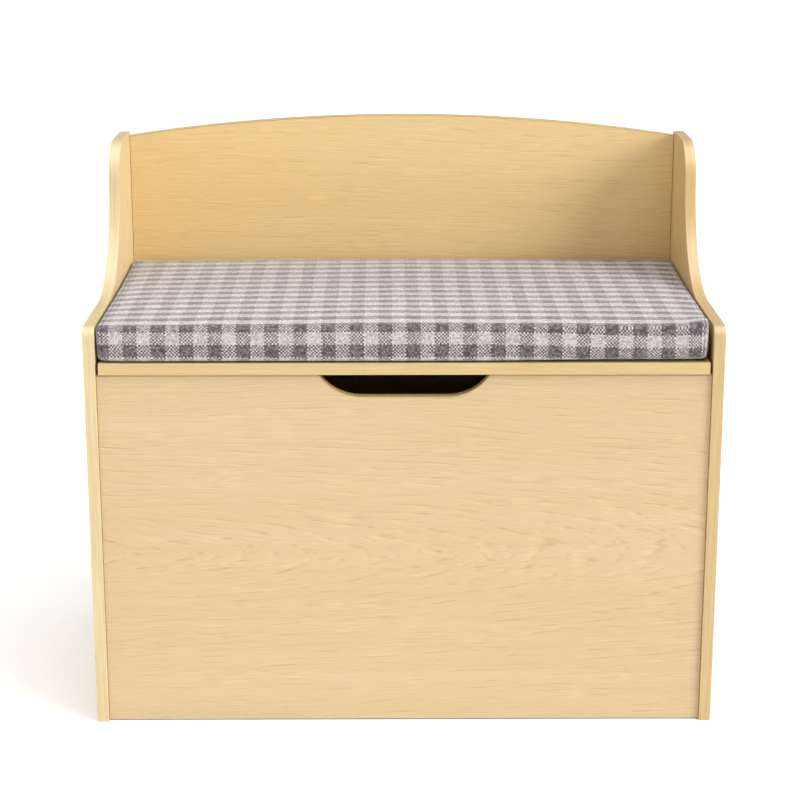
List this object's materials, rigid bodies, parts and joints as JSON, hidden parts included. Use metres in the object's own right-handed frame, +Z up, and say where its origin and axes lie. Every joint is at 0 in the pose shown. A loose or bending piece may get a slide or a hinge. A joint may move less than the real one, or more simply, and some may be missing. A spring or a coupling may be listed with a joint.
{
  "type": "wooden toy box",
  "caption": "Wooden toy box that doubles as a bench: storage chest with arm-shaped sides, arched backrest, scooped front and a hinged lid with a gingham seat pad.",
  "frame": {"origin": "on the floor, at the middle of the box's footprint", "axes": "+Z up, +X to the viewer's right when facing the front, and the front faces -Y"},
  "size_m": [0.6634, 0.36, 0.608],
  "materials": {
    "maple_board": "satin",
    "edging": "satin",
    "cover_cap": "satin",
    "steel": "satin",
    "nylon": "satin",
    "bumper_rubber": "matte",
    "gingham_fabric": "matte",
    "foam": "matte",
    "zip_tape": "matte",
    "hook_and_loop": "matte"
  },
  "bodies": {
    "carcass": {"back_edging": "edging", "back_panel": "maple_board", "bottom_panel": "maple_board", "front_edging": "edging", "front_panel": "maple_board", "left_back_lower_cap": "cover_cap", "left_back_lower_screw": "steel", "left_back_upper_cap": "cover_cap", "left_back_upper_screw": "steel", "left_bottom_front_cap": "cover_cap", "left_bottom_front_screw": "steel", "left_bottom_rear_cap": "cover_cap", "left_bottom_rear_screw": "steel", "left_friction_washer": "nylon", "left_front_lower_cap": "cover_cap", "left_front_lower_screw": "steel", "left_front_upper_cap": "cover_cap", "left_front_upper_screw": "steel", "left_lid_bumper": "bumper_rubber", "left_pivot_bush": "nylon", "left_pivot_cap": "cover_cap", "left_side_edging": "edging", "left_side_panel": "maple_board", "right_back_lower_cap": "cover_cap", "right_back_lower_screw": "steel", "right_back_upper_cap": "cover_cap", "right_back_upper_screw": "steel", "right_bottom_front_cap": "cover_cap", "right_bottom_front_screw": "steel", "right_bottom_rear_cap": "cover_cap", "right_bottom_rear_screw": "steel", "right_friction_washer": "nylon", "right_front_lower_cap": "cover_cap", "right_front_lower_screw": "steel", "right_front_upper_cap": "cover_cap", "right_front_upper_screw": "steel", "right_lid_bumper": "bumper_rubber", "right_pivot_bush": "nylon", "right_pivot_cap": "cover_cap", "right_side_edging": "edging", "right_side_panel": "maple_board"},
    "lid": {"left_hook_strip": "hook_and_loop", "left_lock_nut": "steel", "left_loop_strip": "hook_and_loop", "left_pivot_plate": "steel", "left_plate_screw_front": "steel", "left_plate_screw_rear": "steel", "lid_edging": "edging", "lid_panel": "maple_board", "pad_cover": "gingham_fabric", "pad_foam": "foam", "pad_zip": "zip_tape", "right_hook_strip": "hook_and_loop", "right_lock_nut": "steel", "right_loop_strip": "hook_and_loop", "right_pivot_plate": "steel", "right_plate_screw_front": "steel", "right_plate_screw_rear": "steel"},
    "zip_slider": {"zip_slider": "steel"}
  },
  "joints": [
    {"name": "lid_hinge", "type": "hinge", "parent": "carcass", "child": "lid", "pos_m": [0, 0.078, 0.3915], "axis": [-1, 0, 0], "range_deg": [0, 100]},
    {"name": "zip_slide", "type": "slide", "parent": "lid", "child": "zip_slider", "axis": [-1, 0, 0], "range_m": [0, 0.535]}
  ]
}
